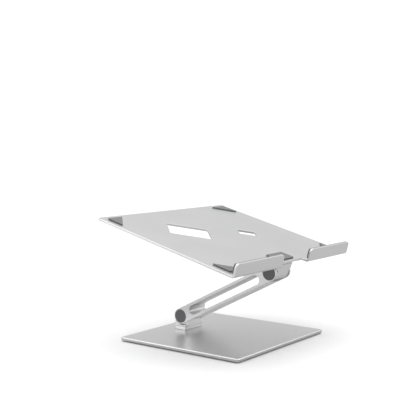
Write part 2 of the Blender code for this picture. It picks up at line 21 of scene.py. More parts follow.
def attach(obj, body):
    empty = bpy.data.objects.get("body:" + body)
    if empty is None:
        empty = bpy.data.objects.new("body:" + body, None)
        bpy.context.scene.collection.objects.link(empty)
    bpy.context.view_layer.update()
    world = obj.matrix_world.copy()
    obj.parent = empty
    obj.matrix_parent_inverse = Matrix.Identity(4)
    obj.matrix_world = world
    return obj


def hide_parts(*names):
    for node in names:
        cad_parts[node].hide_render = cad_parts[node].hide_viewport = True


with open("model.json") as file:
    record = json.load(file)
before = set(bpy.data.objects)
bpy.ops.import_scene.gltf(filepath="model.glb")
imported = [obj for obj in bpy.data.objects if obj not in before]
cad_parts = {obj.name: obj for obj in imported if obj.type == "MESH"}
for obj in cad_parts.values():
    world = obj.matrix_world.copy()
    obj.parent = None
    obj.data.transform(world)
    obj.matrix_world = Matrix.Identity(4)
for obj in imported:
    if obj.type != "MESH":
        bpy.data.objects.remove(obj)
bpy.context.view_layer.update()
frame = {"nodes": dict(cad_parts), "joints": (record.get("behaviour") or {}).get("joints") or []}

MM = 0.001
TINY = 0.001 * MM
# Marks rounded edges for the edge colour: polish, and on metal a painted highlight.
EDGE_MASK = "cut_edge"
ARM_LEAN = math.radians(27.0)
TRAY_LEAN = math.radians(14.6)
SIDES = (("left", -1), ("right", 1))
ROUND_STEPS = 64                    # faces round a cap, and round the seat that takes it
CORNER_FROM = math.radians(50)      # an edge that turns further than this is a corner
SMOOTH_UP_TO = math.radians(40)     # shading runs smoothly over an edge that turns less than this
BY_FACE_AREA = 100                  # the weighted normals' setting that favours large faces fully
SOFTENED_POLISH_AND_HIGHLIGHT = 0.6               # how strongly a rounded edge takes the bright edge colour: polish, and on metal a painted highlight
STAY = Matrix.Identity(4)           # for pieces that are built in the frame's own axes

log = logging.getLogger("laptop_stand")

Corner = tuple[float, float, float]
Point = tuple[float, float]


class Body(Enum):
    """The frame's moving bodies."""

    BASE = "base"
    ARM = "arm"
    TRAY = "tray"


class Facing(Enum):
    """Which way a flat blank is turned once it has been cut and eased."""

    UP = STAY
    ALONG_X = Matrix(((0, 0, 1, 0), (1, 0, 0, 0), (0, 1, 0, 0), (0, 0, 0, 1)))
    ALONG_Y = Matrix(((1, 0, 0, 0), (0, 0, -1, 0), (0, 1, 0, 0), (0, 0, 0, 1)))


# ---------------------------------------------------------------- where the hinges are

def hinge_axes(name: str, lean: float = 0.0) -> Matrix:
    """Gives the axes that a hinge's pieces are built in.

    Args:
        name: The joint's name in the frame.
        lean: How far the pieces are turned about +X at rest.

    Returns:
        The matrix from those axes to the frame's.
    """
    joint = next(j for j in frame["joints"] if j["name"] == name)
    return Matrix.Translation(joint["pos_m"]) @ Matrix.Rotation(lean, 4, "X")


# ---------------------------------------------------------------- shop tools

def only(kind: type, geometry: Iterable) -> list:
    """Picks one kind of element out of an operator's result."""
    return [item for item in geometry if isinstance(item, kind)]


def new_stock() -> BMesh:
    """Starts a piece, with room to mark its cut edges."""
    bm = bmesh.new()
    bm.faces.layers.float.new(EDGE_MASK)
    return bm


def everything(bm: BMesh) -> list:
    """Lists a mesh's points, edges and faces."""
    return bm.verts[:] + bm.edges[:] + bm.faces[:]


def face_outwards(bm: BMesh) -> None:
    """Points every face outwards."""
    bmesh.ops.recalc_face_normals(bm, faces=bm.faces)


def mark_edge_faces(bm: BMesh, faces: Iterable[BMFace], amount: float = 1.0) -> None:
    """Marks faces as cut edges, which the finishes give their edge colour: on metal a polish that is partly
    a painted highlight.
    """
    layer = bm.faces.layers.float[EDGE_MASK]
    for face in faces:
        face[layer] = amount


def soften(bm: BMesh, edges: Sequence[BMEdge], width: float, steps: int = 3) -> None:
    """Rounds edges and marks the new faces.

    Args:
        bm: The piece.
        edges: The edges to round.
        width: The radius.
        steps: How many faces make the round.
    """
    result = bmesh.ops.bevel(bm, geom=list(edges), offset=width, offset_type="OFFSET", segments=steps,
                             profile=0.5, affect="EDGES", clamp_overlap=True, material=-1)
    mark_edge_faces(bm, result["faces"], SOFTENED_POLISH_AND_HIGHLIGHT)


def close_up(bm: BMesh) -> None:
    """Merges doubles and points every face outwards."""
    bmesh.ops.remove_doubles(bm, verts=bm.verts, dist=TINY)
    face_outwards(bm)


def pull(bm: BMesh, faces: Sequence[BMFace], way: Corner) -> list[BMFace]:
    """Extrudes faces, and gives the faces that now end the extrusion."""
    made = bmesh.ops.extrude_face_region(bm, geom=faces)["geom"]
    bmesh.ops.translate(bm, vec=way, verts=only(BMVert, made))
    return only(BMFace, made)


def slice_across(bm: BMesh, point: Corner, normal: Corner) -> None:
    """Cuts a mesh along a plane and keeps both sides."""
    bmesh.ops.bisect_plane(bm, geom=everything(bm), dist=TINY, plane_co=point, plane_no=normal)


def add_mirrored_half(bm: BMesh, axis: str) -> None:
    """Completes a piece of which one half is modelled."""
    bmesh.ops.mirror(bm, geom=everything(bm), axis=axis, merge_dist=TINY)
    close_up(bm)


def is_outside_corner(edge: BMEdge) -> bool:
    """Tells whether an edge is an outside corner."""
    return len(edge.link_faces) == 2 and edge.calc_face_angle_signed(0) > CORNER_FROM


def spun(profile: Sequence[Point]) -> BMesh:
    """Turns a profile about the X axis.

    Args:
        profile: Points (x, radius), of which the first and the last lie on the axis.

    Returns:
        The turned piece.
    """
    bm = new_stock()
    verts = [bm.verts.new((x, 0, radius)) for x, radius in profile]
    edges = [bm.edges.new(pair) for pair in zip(verts, verts[1:])]
    bmesh.ops.spin(bm, geom=verts + edges, cent=(0, 0, 0), axis=(1, 0, 0), angle=2 * math.pi,
                   steps=ROUND_STEPS, use_merge=True, use_duplicate=False)
    close_up(bm)
    return bm


def quarter(centre: Point, radius: float, start: float, steps: int = 4) -> list[Point]:
    """Points of a quarter circle that runs clockwise from the angle start."""
    turns = [start - math.pi / 2 * i / steps for i in range(steps + 1)]
    return [(centre[0] + radius * math.cos(t), centre[1] + radius * math.sin(t)) for t in turns]


class Blank:
    """A flat sheet cut to an outline with holes, then raised to its thickness with eased rims."""

    def __init__(self) -> None:
        """Starts with nothing cut."""
        self.bm: BMesh = new_stock()
        self.top: list[BMFace] = []
        self.bottom: list[BMFace] = []

    def outline(self, corners: Sequence[Corner], steps: int = 6) -> "Blank":
        """Cuts a closed outline or hole.

        Args:
            corners: Each corner's x, y and radius.
            steps: How many segments round a corner.
        """
        bm = self.bm
        by_radius = {}
        ring = [bm.verts.new((x, y, 0)) for x, y, _ in corners]
        for vert, (_, _, radius) in zip(ring, corners):
            by_radius.setdefault(radius, []).append(vert)
        bm.faces.new(ring)
        for radius, group in by_radius.items():
            bmesh.ops.bevel(bm, geom=group, offset=radius, offset_type="OFFSET", segments=steps,
                            profile=0.5, affect="VERTICES", clamp_overlap=False, material=-1)
        bmesh.ops.delete(bm, geom=bm.faces[:], context="FACES_ONLY")
        bmesh.ops.remove_doubles(bm, verts=bm.verts, dist=TINY)
        return self

    def rectangle(self, width: float, depth: float, radius: float, centre: Point = (0, 0),
                  turn: float = 0.0, steps: int = 6) -> "Blank":
        """Cuts a rectangle with rounded corners, turned about its centre."""
        c, s = math.cos(turn), math.sin(turn)
        signs = ((-1, -1), (1, -1), (1, 1), (-1, 1))
        halves = [(a * width / 2, b * depth / 2) for a, b in signs]
        return self.outline([(centre[0] + x * c - y * s, centre[1] + x * s + y * c, radius)
                             for x, y in halves], steps)

    def circle(self, centre: Point, radius: float, steps: int = 48) -> "Blank":
        """Cuts a round hole."""
        place = Matrix.Translation((*centre, 0))
        bmesh.ops.create_circle(self.bm, cap_ends=False, radius=radius, segments=steps, matrix=place)
        return self

    def fill(self) -> "Blank":
        """Fills between the outline and its holes."""
        bmesh.ops.triangle_fill(self.bm, use_beauty=True, use_dissolve=False, edges=self.bm.edges[:],
                                normal=(0, 0, 1))
        return self

    def thicken(self, low: float, high: float) -> "Blank":
        """Gives the sheet its thickness, from the height low to the height high."""
        self.bottom = self.fill().bm.faces[:]
        self.top = pull(self.bm, self.bottom, (0, 0, high - low))
        bmesh.ops.translate(self.bm, vec=(0, 0, low), verts=self.bm.verts)
        face_outwards(self.bm)
        return self

    def ease(self, top: float, bottom: float, steps: int = 3, amount: float = 1.0) -> "Blank":
        """Rounds the rims of both faces, with one step for a flat chamfer.

        The rim is made inside the thickness: each face is first drawn in by the rim's own height.

        Args:
            top: The size of the rim round the top face.
            bottom: The size of the rim round the bottom face.
            steps: How many faces make each rim.
            amount: How strongly the rim takes the edge colour, which on metal stands for polish and a
                painted highlight.
        """
        for faces, size, way in ((self.top, top, 1), (self.bottom, bottom, -1)):
            if not size:
                continue
            verts = dict.fromkeys(v for f in faces for v in f.verts)
            bmesh.ops.translate(self.bm, vec=(0, 0, -way * size), verts=list(verts))
            done = (0.0, 0.0)
            for step in range(1, steps + 1):
                turn = math.pi / 2 * step / steps
                goal = (size * (1 - math.cos(turn)), size * math.sin(turn))
                ring = bmesh.ops.inset_region(self.bm, faces=faces, thickness=goal[0] - done[0], depth=0,
                                              use_boundary=True, use_even_offset=True)
                mark_edge_faces(self.bm, ring["faces"], amount)
                verts = dict.fromkeys(v for f in faces for v in f.verts)
                bmesh.ops.translate(self.bm, vec=(0, 0, way * (goal[1] - done[1])), verts=list(verts))
                done = goal
        return self

    def countersink(self, centre: Point, narrow: float, wide: float, height: float) -> "Blank":
        """Widens a round hole where it meets the face at a height."""
        place = Vector((*centre, height))
        rim = [v for v in self.bm.verts if (v.co - place).length < narrow + TINY]
        bmesh.ops.scale(self.bm, vec=(wide / narrow, wide / narrow, 1), verts=rim,
                        space=Matrix.Translation(-place))
        return self

    def turned(self, facing: Facing) -> BMesh:
        """Turns the blank and hands over its mesh."""
        bmesh.ops.transform(self.bm, matrix=facing.value, verts=self.bm.verts)
        face_outwards(self.bm)
        return self.bm


# ---------------------------------------------------------------- finishes

VECTOR, NUMBER, COLOUR = "NodeSocketVector", "NodeSocketFloat", "NodeSocketColor"
PLAIN_GREY = (0.5, 0.5, 0.5, 1)
MIX_SHARE, MIX_FIRST, MIX_SECOND, MIX_RESULT = 0, 6, 7, 2   # the mix node's sockets for colours


class NodeBench:
    """Places and links nodes in one tree."""

    def __init__(self, tree: ShaderNodeTree) -> None:
        """Starts on a tree."""
        self.tree = tree

    def node(self, kind: str, **values: object) -> Node:
        """Adds a node, and sets its attributes or, by a name in capitals or with a space, its inputs."""
        node = self.tree.nodes.new(kind)
        for name, value in values.items():
            if hasattr(node, name):
                setattr(node, name, value)
            else:
                self.feed(value, node.inputs[name.replace("_", " ")])
        return node

    def feed(self, value: object, socket: NodeSocket) -> None:
        """Links an output to a socket, or sets the socket's own value."""
        if isinstance(value, NodeSocket):
            self.tree.links.new(value, socket)
        else:
            socket.default_value = value

    def group(self, tree: ShaderNodeTree, **values: object) -> NodeOutputs:
        """Adds a group, sets its inputs by name, with underscores for spaces, and gives its outputs."""
        node = self.tree.nodes.new("ShaderNodeGroup")
        node.node_tree = tree
        for name, value in values.items():
            self.feed(value, node.inputs[name.replace("_", " ")])
        return node.outputs

    def noise(self, place: object, scale: object, detail: float,
              roughness: float = 0.5) -> NodeSocket:
        """A noise value on a place."""
        return self.node("ShaderNodeTexNoise", Vector=place, Scale=scale, Detail=detail,
                         Roughness=roughness).outputs["Fac"]

    def spread(self, value: object, low: object, high: object,
               source: Point = (0.0, 1.0)) -> NodeSocket:
        """Maps a value onto a range."""
        node = self.node("ShaderNodeMapRange")
        for name, item in (("Value", value), ("From Min", source[0]), ("From Max", source[1]),
                           ("To Min", low), ("To Max", high)):
            self.feed(item, node.inputs[name])
        return node.outputs["Result"]

    def math(self, operation: str, first: object, second: object) -> NodeSocket:
        """Combines two values."""
        node = self.node("ShaderNodeMath", operation=operation)
        self.feed(first, node.inputs[0])
        self.feed(second, node.inputs[1])
        return node.outputs[0]

    def mix(self, share: object, first: object, second: object, blend: str = "MIX") -> NodeSocket:
        """Mixes two colours."""
        node = self.node("ShaderNodeMix", data_type="RGBA", blend_type=blend)
        for item, socket in ((share, MIX_SHARE), (first, MIX_FIRST), (second, MIX_SECOND)):
            self.feed(item, node.inputs[socket])
        return node.outputs[MIX_RESULT]


def new_group(name: str, inputs: Sequence[tuple[str, str, object]],
              outputs: Sequence[tuple[str, str]]) -> NodeBench:
    """Starts a node group.

    Args:
        name: The group's name.
        inputs: Each input's name, kind and value, or None where the kind's own value stays.
        outputs: Each output's name and kind.

    Returns:
        The bench on which the group's nodes are placed.
    """
    tree = bpy.data.node_groups.new(name, "ShaderNodeTree")
    for label, kind, value in inputs:
        socket = tree.interface.new_socket(name=label, in_out="INPUT", socket_type=kind)
        if value is not None:
            socket.default_value = value
    for label, kind in outputs:
        tree.interface.new_socket(name=label, in_out="OUTPUT", socket_type=kind)
    return NodeBench(tree)


def grain_group() -> ShaderNodeTree:
    """Fine grain and faint blotches, shared by every finish.

    Returns:
        A group that turns a plain colour and roughness into ones that vary, with a height for a bump.
    """
    bench = new_group("fine_grain", (
        ("Place", VECTOR, None), ("Colour", COLOUR, PLAIN_GREY), ("Roughness", NUMBER, 0.5),
        ("Grain Scale", NUMBER, 2000.0), ("Grain Share", NUMBER, 0.05), ("Blotch Scale", NUMBER, 20.0),
        ("Blotch Share", NUMBER, 0.05), ("Roughness Share", NUMBER, 0.05)),
        (("Colour", COLOUR), ("Roughness", NUMBER), ("Height", NUMBER)))
    given = bench.node("NodeGroupInput").outputs
    grain = bench.noise(given["Place"], given["Grain Scale"], detail=2.0, roughness=0.6)
    blotch = bench.noise(given["Place"], given["Blotch Scale"], detail=3.0)
    even_grain = bench.math("SUBTRACT", grain, 0.5)
    even_blotch = bench.math("SUBTRACT", blotch, 0.5)
    change = bench.math("ADD", bench.math("MULTIPLY", even_grain, given["Grain Share"]),
                        bench.math("MULTIPLY", even_blotch, given["Blotch Share"]))
    shade = bench.math("ADD", change, 1.0)
    grey = bench.node("ShaderNodeCombineColor", Red=shade, Green=shade, Blue=shade).outputs[0]
    change = bench.math("MULTIPLY", even_blotch, given["Roughness Share"])
    rough = bench.math("ADD", given["Roughness"], change)
    done = bench.node("NodeGroupOutput").inputs
    bench.feed(bench.mix(1.0, given["Colour"], grey, "MULTIPLY"), done["Colour"])
    bench.feed(rough, done["Roughness"])
    bench.feed(grain, done["Height"])
    return bench.tree


def edge_group() -> ShaderNodeTree:
    """Cut edges in their own colour and roughness, worn a little unevenly: on metal brighter and smoother,
    a polish that is partly a painted highlight.

    Returns:
        A group that mixes an edge's colour and roughness over a face's by a mask.
    """
    bench = new_group("polished_edge_and_painted_highlight", (
        ("Place", VECTOR, None), ("Mask", NUMBER, 0.0), ("Colour", COLOUR, PLAIN_GREY),
        ("Roughness", NUMBER, 0.5), ("Edge Colour", COLOUR, (0.8, 0.8, 0.8, 1)),
        ("Edge Roughness", NUMBER, 0.2), ("Wear Scale", NUMBER, 60.0)),
        (("Colour", COLOUR), ("Roughness", NUMBER)))
    given = bench.node("NodeGroupInput").outputs
    wear = bench.noise(given["Place"], given["Wear Scale"], detail=2.0)
    uneven = bench.spread(wear, low=0.75, high=1.0, source=(0.35, 0.65))
    mask = bench.math("MULTIPLY", given["Mask"], uneven)
    done = bench.node("NodeGroupOutput").inputs
    bench.feed(bench.mix(mask, given["Colour"], given["Edge Colour"]), done["Colour"])
    bench.feed(bench.spread(mask, given["Roughness"], given["Edge Roughness"]), done["Roughness"])
    return bench.tree


def dust_group() -> ShaderNodeTree:
    """A trace of dust on faces that look up.

    Returns:
        A group that pales a colour where dust has settled.
    """
    bench = new_group("settled_dust", (
        ("Place", VECTOR, None), ("Normal", VECTOR, None), ("Colour", COLOUR, PLAIN_GREY),
        ("Dust Colour", COLOUR, (0.6, 0.6, 0.58, 1)), ("Amount", NUMBER, 0.1),
        ("Speck Scale", NUMBER, 900.0)), (("Colour", COLOUR),))
    given = bench.node("NodeGroupInput").outputs
    upward = bench.node("ShaderNodeSeparateXYZ", Vector=given["Normal"]).outputs["Z"]
    facing = bench.spread(upward, low=0.0, high=1.0, source=(0.2, 0.95))
    speck = bench.noise(given["Place"], given["Speck Scale"], detail=3.0, roughness=0.7)
    settled = bench.math("MULTIPLY", facing, bench.spread(speck, low=0.2, high=1.0, source=(0.45, 0.7)))
    share = bench.math("MULTIPLY", settled, given["Amount"])
    done = bench.node("NodeGroupOutput").inputs
    bench.feed(bench.mix(share, given["Colour"], given["Dust Colour"]), done["Colour"])
    return bench.tree


@dataclass(frozen=True)
class Finish:
    """A finish that every piece of one material shares.

    Attributes:
        slot: The record's material slot.
        colour: The face's colour.
        roughness: The face's roughness.
        metallic: 1 for metal, 0 for the rest.
        specular: How strongly a coating reflects.
        grain_scale: Grains to the metre.
        grain_share: How much the grain changes the colour.
        grain_depth: The height of the grain, in metres.
        blotch_scale: Blotches to the metre.
        blotch_share: How much the blotches change the colour.
        roughness_share: How much the blotches change the roughness.
        edge_colour: The colour of cut edges; brighter on metal, which stands for polish and is partly a
            painted highlight.
        edge_roughness: The roughness of cut edges.
        dust: How much dust lies on faces that look up.
    """

    slot: str
    colour: Corner
    roughness: float
    metallic: float
    specular: float
    grain_scale: float
    grain_share: float
    grain_depth: float
    blotch_scale: float
    blotch_share: float
    roughness_share: float
    edge_colour: Corner
    edge_roughness: float
    dust: float

    def material(self, groups: dict[str, ShaderNodeTree]) -> Material:
        """Makes the material.

        Args:
            groups: The shared effects, by name.

        Returns:
            The material.
        """
        material = bpy.data.materials.new(f"{self.slot}_finish")
        material.use_nodes = True
        bench = NodeBench(material.node_tree)
        shader = material.node_tree.nodes["Principled BSDF"]
        shader.inputs["Metallic"].default_value = self.metallic
        shader.inputs["Specular IOR Level"].default_value = self.specular
        place = bench.node("ShaderNodeTexCoord").outputs["Object"]
        mask = bench.node("ShaderNodeAttribute", attribute_name=EDGE_MASK).outputs["Fac"]
        # The edge colour over the marked edges: on metal a polish that is partly a painted highlight.
        edge = bench.group(groups["edge"], Place=place, Mask=mask, Colour=(*self.colour, 1),
                           Roughness=self.roughness, Edge_Colour=(*self.edge_colour, 1),
                           Edge_Roughness=self.edge_roughness)
        grain = bench.group(groups["grain"], Place=place, Colour=edge["Colour"],
                            Roughness=edge["Roughness"], Grain_Scale=self.grain_scale,
                            Grain_Share=self.grain_share, Blotch_Scale=self.blotch_scale,
                            Blotch_Share=self.blotch_share, Roughness_Share=self.roughness_share)
        normal = bench.node("ShaderNodeNewGeometry").outputs["Normal"]
        dust = bench.group(groups["dust"], Place=place, Normal=normal, Colour=grain["Colour"],
                           Amount=self.dust)
        bump = bench.node("ShaderNodeBump", Height=grain["Height"], Distance=self.grain_depth, Strength=1.0)
        bench.feed(dust["Colour"], shader.inputs["Base Color"])
        bench.feed(grain["Roughness"], shader.inputs["Roughness"])
        bench.feed(bump.outputs["Normal"], shader.inputs["Normal"])
        return material


FINISHES = {
    # The metals' brighter edge colours stand for polish and are partly a painted highlight on rounded
    # edges.
    "aluminium": Finish(
        slot="satin_aluminium", colour=(0.720, 0.720, 0.724), roughness=0.33, metallic=0.95, specular=0.5,
        grain_scale=3200.0, grain_share=0.10, grain_depth=0.012 * MM, blotch_scale=14.0, blotch_share=0.035,
        roughness_share=0.08, edge_colour=(0.85, 0.85, 0.853), edge_roughness=0.25, dust=0.02),
    "steel": Finish(
        slot="zinc_steel", colour=(0.5, 0.5, 0.49), roughness=0.32, metallic=1.0, specular=0.5,
        grain_scale=900.0, grain_share=0.12, grain_depth=0.01 * MM, blotch_scale=160.0, blotch_share=0.2,
        roughness_share=0.25, edge_colour=(0.62, 0.62, 0.61), edge_roughness=0.25, dust=0.02),
    "plastic": Finish(
        slot="grey_plastic", colour=(0.135, 0.135, 0.14), roughness=0.5, metallic=0.0, specular=0.45,
        grain_scale=2600.0, grain_share=0.25, grain_depth=0.02 * MM, blotch_scale=90.0, blotch_share=0.08,
        roughness_share=0.1, edge_colour=(0.16, 0.16, 0.165), edge_roughness=0.42, dust=0.04),
    "polymer": Finish(
        slot="white_polymer", colour=(0.75, 0.75, 0.72), roughness=0.45, metallic=0.0, specular=0.5,
        grain_scale=1500.0, grain_share=0.05, grain_depth=0.01 * MM, blotch_scale=120.0, blotch_share=0.05,
        roughness_share=0.1, edge_colour=(0.8, 0.8, 0.77), edge_roughness=0.4, dust=0.0),
    "rubber": Finish(
        slot="grey_rubber", colour=(0.2, 0.2, 0.205), roughness=0.78, metallic=0.0, specular=0.35,
        grain_scale=2200.0, grain_share=0.3, grain_depth=0.03 * MM, blotch_scale=120.0, blotch_share=0.12,
        roughness_share=0.1, edge_colour=(0.14, 0.14, 0.145), edge_roughness=0.7, dust=0.12),
}
NODE_FINISHES = (("screw", "steel"), ("sleeve", "steel"), ("washer", "polymer"))


def add_object(name: str, data: ID) -> Object:
    """Puts an object with a mesh, light or camera into the scene."""
    made = bpy.data.objects.new(name, data)
    bpy.context.scene.collection.objects.link(made)
    return made


class PaintShop:
    """Makes each finish once and dresses pieces with it."""

    def __init__(self) -> None:
        """Makes the shared effects and the materials."""
        groups = {"grain": grain_group(), "edge": edge_group(), "dust": dust_group()}
        self.materials = {name: finish.material(groups) for name, finish in FINISHES.items()}

    def piece(self, name: str, bm: BMesh, finish: str, body: Body, place: Matrix,
              replaces: Sequence[str] = ()) -> Object:
        """Makes an object of a mesh, dresses it and ties it to its body.

        Args:
            name: The piece's name.
            bm: Its mesh, in the axes of its hinge.
            finish: The name of its finish.
            body: The body that it moves with.
            place: The matrix from those axes to the frame's.
            replaces: The frame's nodes that it stands for.

        Returns:
            The piece's object.
        """
        bmesh.ops.transform(bm, matrix=place, verts=bm.verts)
        mesh = bpy.data.meshes.new(name)
        bm.to_mesh(mesh)
        bm.free()
        mesh.materials.append(self.materials[finish])
        mesh.shade_smooth()
        mesh.set_sharp_from_angle(angle=SMOOTH_UP_TO)
        piece = add_object(name, mesh)
        weighted = piece.modifiers.new("flat_faces", "WEIGHTED_NORMAL")
        weighted.keep_sharp = True
        weighted.weight = BY_FACE_AREA
        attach(piece, body.value)
        if replaces:
            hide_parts(*replaces)
        log.info("%-24s %-8s %6d faces, on %s", name, finish, len(mesh.polygons), body.value)
        return piece

    def dress_frame_nodes(self) -> None:
        """Gives each hidden fastener that the frame brings its finish."""
        for name, node in frame["nodes"].items():
            for word, finish in NODE_FINISHES:
                if word in name:
                    node.data.materials.clear()
                    node.data.materials.append(self.materials[finish])


# ---------------------------------------------------------------- sub-assemblies

@dataclass
class Rubber:
    """Flat rubber pads.

    Attributes:
        shop: Where pieces get their finish.
        thickness: A pad's thickness.
        corner: The radius of a pad's corners.
        rim: The round of its upper rim.
        leg: The short sides of a triangular pad.
        block: The width and depth of the pad over a hinge.
        corner_steps: How many faces go round a corner.
    """

    shop: PaintShop
    thickness: float = 1.5 * MM
    corner: float = 1.5 * MM
    rim: float = 0.4 * MM
    leg: float = 28 * MM
    block: Point = (37 * MM, 21 * MM)
    corner_steps: int = 5

    def triangle(self, name: str, corner: Point, towards: Point, low: float, body: Body,
                 place: Matrix) -> None:
        """Makes a triangular pad.

        Args:
            name: The pad's name, and its node's.
            corner: Where its right angle is.
            towards: The signs of the ways that its legs run.
            low: The height of its lower face.
            body: The body that it is stuck to.
            place: The matrix to the frame's axes.
        """
        x, y = corner
        points = [(x, y), (x + towards[0] * self.leg, y), (x, y + towards[1] * self.leg)]
        if towards[0] * towards[1] < 0:
            points.reverse()
        blank = Blank().outline([(*point, self.corner) for point in points], self.corner_steps)
        self.finish(name, blank, low, body, place)

    def finish(self, name: str, blank: Blank, low: float, body: Body, place: Matrix) -> None:
        """Raises a pad's blank and eases its rims."""
        blank.thicken(low, low + self.thickness).ease(self.rim, self.rim / 2)
        self.shop.piece(f"{name}_rubber", blank.turned(Facing.UP), "rubber", body, place, [name])

    def over_hinge(self, name: str, low: float, body: Body, place: Matrix) -> None:
        """Makes the rectangular pad that covers a hinge's screws."""
        blank = Blank().rectangle(*self.block, self.corner, steps=self.corner_steps)
        self.finish(name, blank, low, body, place)


@dataclass
class HingeBlock:
    """The foot, flange and round-topped block that one end of the arm turns on.

    Attributes:
        shop: Where pieces get their finish.
        width: The block's width, between the washers.
        radius: The radius of its round top.
        axis_height: From the flange's free face to the hinge's axis.
        flange: The flange's width, depth and thickness.
        corner: The radius of the flange's corners.
        hollow: The radius of the hollow shoulder under the arm's round end.
        shoulder: The shoulder's width.
        land: The flat along the top of the shoulder's outer wall.
        bore: The radius of the pivot's bore.
        screw_offset: Each screw's distance from the middle.
        screw_hole: The radius of a screw's hole.
        screw_head: The radius of the hole for its countersunk head.
        gap: The joint line between two pieces that rest on each other.
        edge: The round of the block's edges.
        plain_rim: The width round the bore in which edges stay sharp.
        foot_edge: The round of the spacer's edges.
        top_steps: How many faces go over the round top.
        hollow_steps: How many faces go down the hollow shoulder.
        bore_steps: How many faces go round the bore.
        screw_steps: How many faces go round a screw's hole.
    """

    shop: PaintShop
    width: float = 28.6 * MM
    radius: float = 10 * MM
    axis_height: float = 12.1 * MM
    flange: Corner = (38 * MM, 21 * MM, 2 * MM)
    corner: float = 2 * MM
    hollow: float = 11.5 * MM
    shoulder: float = 36 * MM
    land: float = 0.8 * MM
    bore: float = 4.3 * MM
    screw_offset: float = 9.3 * MM
    screw_hole: float = 2.25 * MM
    screw_head: float = 4.05 * MM
    gap: float = 0.3 * MM
    edge: float = 0.35 * MM
    plain_rim: float = 1 * MM
    foot_edge: float = 0.3 * MM
    top_steps: int = 32
    hollow_steps: int = 10
    bore_steps: int = 32
    screw_steps: int = 24

    def drill(self, blank: Blank) -> Blank:
        """Cuts the two holes for the screws that hold the block."""
        for x in (-self.screw_offset, self.screw_offset):
            blank.circle((x, 0), self.screw_hole, self.screw_steps)
        return blank

    def countersink(self, blank: Blank, height: float) -> None:
        """Widens those holes for the screws' heads at the face at a height."""
        for x in (-self.screw_offset, self.screw_offset):
            blank.countersink((x, 0), self.screw_hole, self.screw_head, height)

    def side_view(self, bm: BMesh) -> tuple[BMFace, BMFace]:
        """Draws the flange, the hollow shoulder and the bored block next to each other in one plane.

        Args:
            bm: The mesh to draw in.

        Returns:
            The flange's face and the shoulder's.
        """
        def at(y: float, z: float) -> BMVert:
            """Adds a point to the side view."""
            return bm.verts.new((0, y, z))

        deep, ledge = self.flange[1] / 2, -self.axis_height
        seat = ledge - self.flange[2]
        land_start = -math.acos((self.radius - self.land) / self.hollow)
        sweep = land_start + math.pi / 2
        hollow_turns = [sweep * i / self.hollow_steps - math.pi / 2 for i in range(self.hollow_steps + 1)]
        hollow = [at(self.hollow * math.cos(t), self.hollow * math.sin(t)) for t in hollow_turns]
        hollow.append(at(self.radius, hollow[-1].co.z))
        top_turns = [math.pi * i / self.top_steps for i in range(self.top_steps + 1)]
        top = [at(self.radius * math.cos(t), self.radius * math.sin(t)) for t in top_turns]
        feet = [at(y, ledge) for y in (-self.radius, 0, self.radius)]
        rim = ((-deep, ledge), (-deep, seat), (deep, seat), (deep, ledge))
        ends = [at(*place) for place in rim]
        flange = bm.faces.new(ends + feet[::-1])
        shoulder = bm.faces.new(feet[1:] + hollow[::-1])
        loop = feet[:2] + hollow + top
        outline = [bm.edges.get(pair) or bm.edges.new(pair) for pair in zip(loop, loop[1:] + loop[:1])]
        made = bmesh.ops.create_circle(bm, cap_ends=False, radius=self.bore, segments=self.bore_steps,
                                       matrix=Matrix.Rotation(math.pi / 2, 4, "Y"))
        bore = list(dict.fromkeys(e for v in made["verts"] for e in v.link_edges))
        bmesh.ops.triangle_fill(bm, use_beauty=True, use_dissolve=False, edges=outline + bore)
        return flange, shoulder

    def block(self) -> BMesh:
        """Models the block with its axis at the origin: one half outwards from the side view, mirrored."""
        bm = new_stock()
        flange, shoulder = self.side_view(bm)
        bmesh.ops.translate(bm, vec=(self.width / 2, 0, 0), verts=bm.verts)
        middle = pull(bm, bm.faces[:], (-self.width / 2, 0, 0))
        bmesh.ops.delete(bm, geom=middle, context="FACES")
        ends = pull(bm, [flange, shoulder], ((self.shoulder - self.width) / 2, 0, 0))
        low = [f for f in ends if f.calc_center_median().z < -self.axis_height]
        pull(bm, low, ((self.flange[0] - self.shoulder) / 2, 0, 0))
        add_mirrored_half(bm, "X")
        # The rounded flange corners and rims take the bright edge colour: polish, and a painted highlight
        # on the corners.
        soften(bm, [e for e in bm.edges if self.is_flange_corner(e)], self.corner, steps=6)
        soften(bm, [e for e in bm.edges if self.is_rim(e)], self.edge)
        return bm

    def is_flange_corner(self, edge: BMEdge) -> bool:
        """Tells whether an edge is an upright corner of the flange."""
        wide, deep = self.flange[0] / 2, self.flange[1] / 2
        return all(abs(abs(v.co.x) - wide) < TINY and abs(abs(v.co.y) - deep) < TINY for v in edge.verts)

    def is_rim(self, edge: BMEdge) -> bool:
        """Tells whether an edge is an outside corner, other than the rim of the bore."""
        clear = self.bore + self.plain_rim
        return is_outside_corner(edge) and all(math.hypot(v.co.y, v.co.z) > clear for v in edge.verts)

    def foot(self, height: float) -> BMesh:
        """Models the spacer that the flange is screwed down on, with its top at the flange's seat."""
        seat = -self.axis_height - self.flange[2] - self.gap
        blank = self.drill(Blank().rectangle(self.flange[0], self.flange[1], self.corner))
        blank.thicken(seat - height, seat).ease(self.foot_edge, self.foot_edge, steps=2)
        return blank.turned(Facing.UP)

    def build(self, prefix: str, foot_height: float, body: Body, place: Matrix) -> None:
        """Makes the block and its foot.

        Args:
            prefix: The start of both pieces' names, and their nodes'.
            foot_height: The spacer's height.
            body: The body that they belong to.
            place: The matrix from the hinge's axes, with the foot below, to the frame's.
        """
        for part, bm in (("block", self.block()), ("foot", self.foot(foot_height))):
            node = f"{prefix}_hinge_{part}"
            self.shop.piece(f"{node}_metal", bm, "aluminium", body, place, [node])


